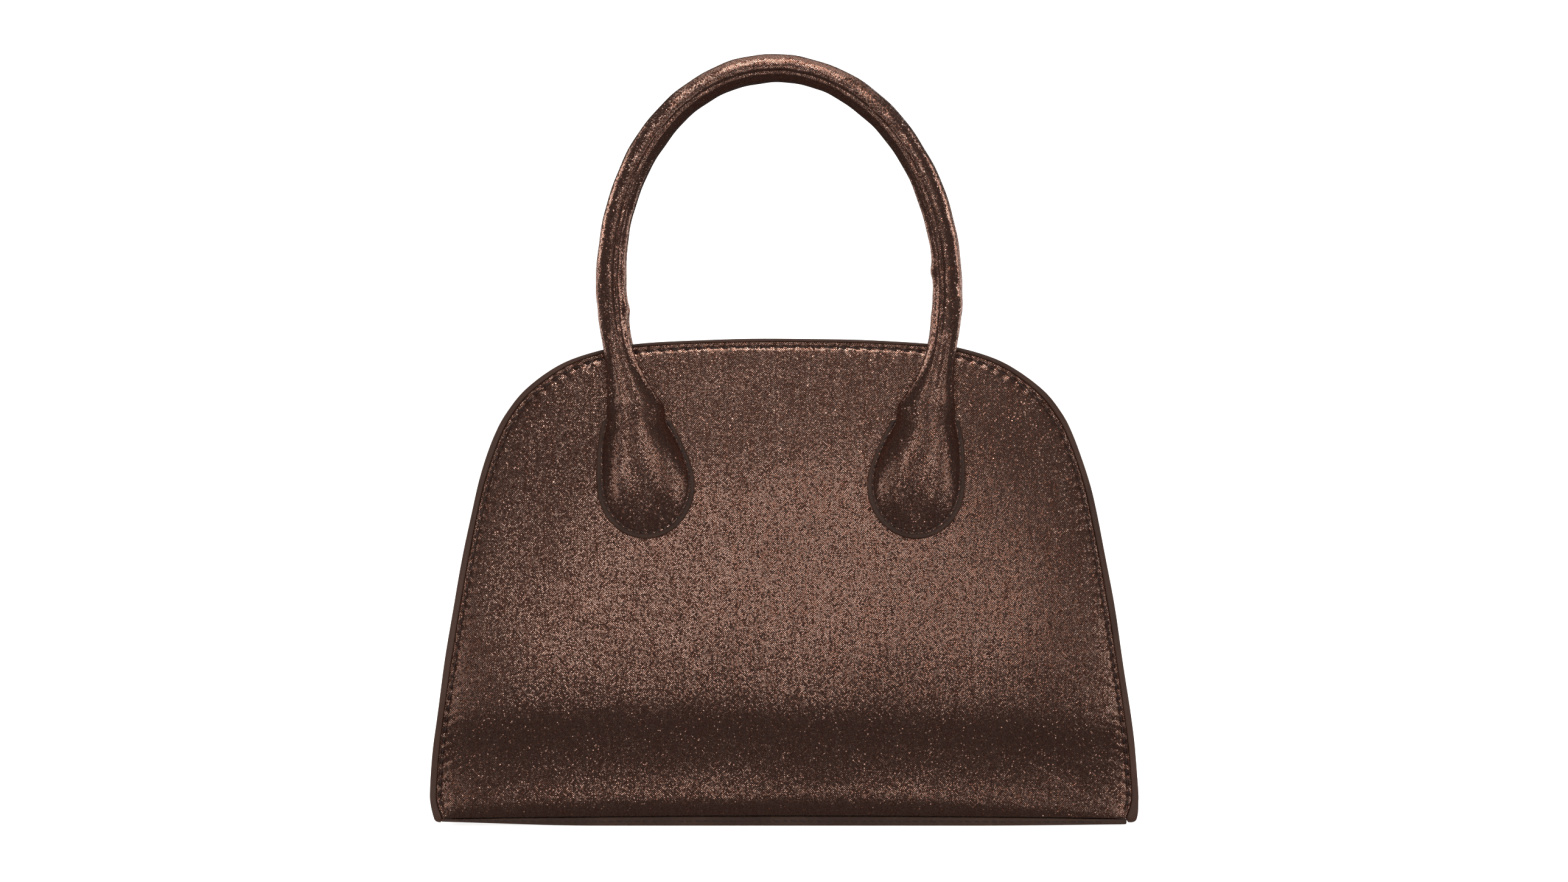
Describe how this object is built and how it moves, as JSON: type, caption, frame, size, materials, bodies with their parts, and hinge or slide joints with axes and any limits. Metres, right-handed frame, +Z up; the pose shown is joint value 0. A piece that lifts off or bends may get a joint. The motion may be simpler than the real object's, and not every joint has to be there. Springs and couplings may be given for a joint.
{
  "type": "top handle bag",
  "caption": "Small domed top handle bag in woven fabric with painted edges, soft gussets, a recessed zip top and rolled handles on teardrop tabs.",
  "frame": {"origin": "on the standing surface, under the middle of the base", "axes": "+Z up through the crown and the handles, +X to the right of the front panel along the bag's width, front panel facing -Y"},
  "size_m": [0.261, 0.0958, 0.2844],
  "materials": {
    "lurex_fabric": "woven, metallic thread over dark brown",
    "smooth_trim": "smooth, semi-gloss dark brown",
    "edge_paint": "satin painted edge",
    "lining": "plain woven",
    "foam": "soft foam",
    "cord": "twisted cord",
    "board": "stiff board",
    "zip_tape": "woven tape",
    "zip_metal": "antiqued"
  },
  "bodies": {
    "bag": {"front_panel": "lurex_fabric", "back_panel": "lurex_fabric", "front_foam": "foam", "back_foam": "foam", "front_painted_edge": "edge_paint", "back_painted_edge": "edge_paint", "left_gusset": "smooth_trim", "right_gusset": "smooth_trim", "base_panel": "smooth_trim", "base_board": "board", "front_top_facing": "smooth_trim", "back_top_facing": "smooth_trim", "zip_end_panels": "smooth_trim", "zip_end_tapes": "zip_tape", "zip_end_teeth": "zip_metal", "zip_stops": "zip_metal", "front_left_tab": "lurex_fabric", "front_right_tab": "lurex_fabric", "back_left_tab": "lurex_fabric", "back_right_tab": "lurex_fabric", "front_left_tab_backing": "smooth_trim", "front_right_tab_backing": "smooth_trim", "back_left_tab_backing": "smooth_trim", "back_right_tab_backing": "smooth_trim", "front_lining": "lining", "back_lining": "lining", "left_lining_gusset": "lining", "right_lining_gusset": "lining", "lining_base": "lining", "slip_pocket": "lining"},
    "front_handle": {"front_handle_cover": "lurex_fabric", "front_handle_cord": "cord", "front_neck_padding": "foam"},
    "back_handle": {"back_handle_cover": "lurex_fabric", "back_handle_cord": "cord", "back_neck_padding": "foam"},
    "front_zip_half": {"front_zip_band": "smooth_trim", "front_zip_tape": "zip_tape", "front_zip_teeth": "zip_metal"},
    "back_zip_half": {"back_zip_band": "smooth_trim", "back_zip_tape": "zip_tape", "back_zip_teeth": "zip_metal"},
    "slider": {"zip_slider": "zip_metal"},
    "pull_ring": {"zip_pull_ring": "zip_metal"},
    "pull_tab": {"zip_pull_tab": "smooth_trim"}
  },
  "joints": [
    {"name": "front_handle_tip", "type": "hinge", "parent": "bag", "child": "front_handle", "pos_m": [0, -0.03639, 0.154], "axis": [1, 0, 0], "range_deg": [0, 115]},
    {"name": "back_handle_tip", "type": "hinge", "parent": "bag", "child": "back_handle", "pos_m": [0, 0.03639, 0.154], "axis": [-1, 0, 0], "range_deg": [0, 115]},
    {"name": "front_zip_open", "type": "hinge", "parent": "bag", "child": "front_zip_half", "pos_m": [0, -0.02557, 0.16825], "axis": [1, 0, 0], "range_deg": [0, 60]},
    {"name": "back_zip_open", "type": "hinge", "parent": "bag", "child": "back_zip_half", "pos_m": [0, 0.02557, 0.16825], "axis": [-1, 0, 0], "range_deg": [0, 60]},
    {"name": "slider_run", "type": "slide", "parent": "bag", "child": "slider", "axis": [-1, 0, 0], "range_m": [0, 0.12493]},
    {"name": "ring_flip", "type": "hinge", "parent": "slider", "child": "pull_ring", "pos_m": [0.06246, 0, 0.1706], "axis": [0, 1, 0], "range_deg": [0, 175]},
    {"name": "pull_tab_swing", "type": "hinge", "parent": "pull_ring", "child": "pull_tab", "pos_m": [0.05547, 0, 0.1706], "axis": [0, 1, 0], "range_deg": [0, 60]}
  ]
}
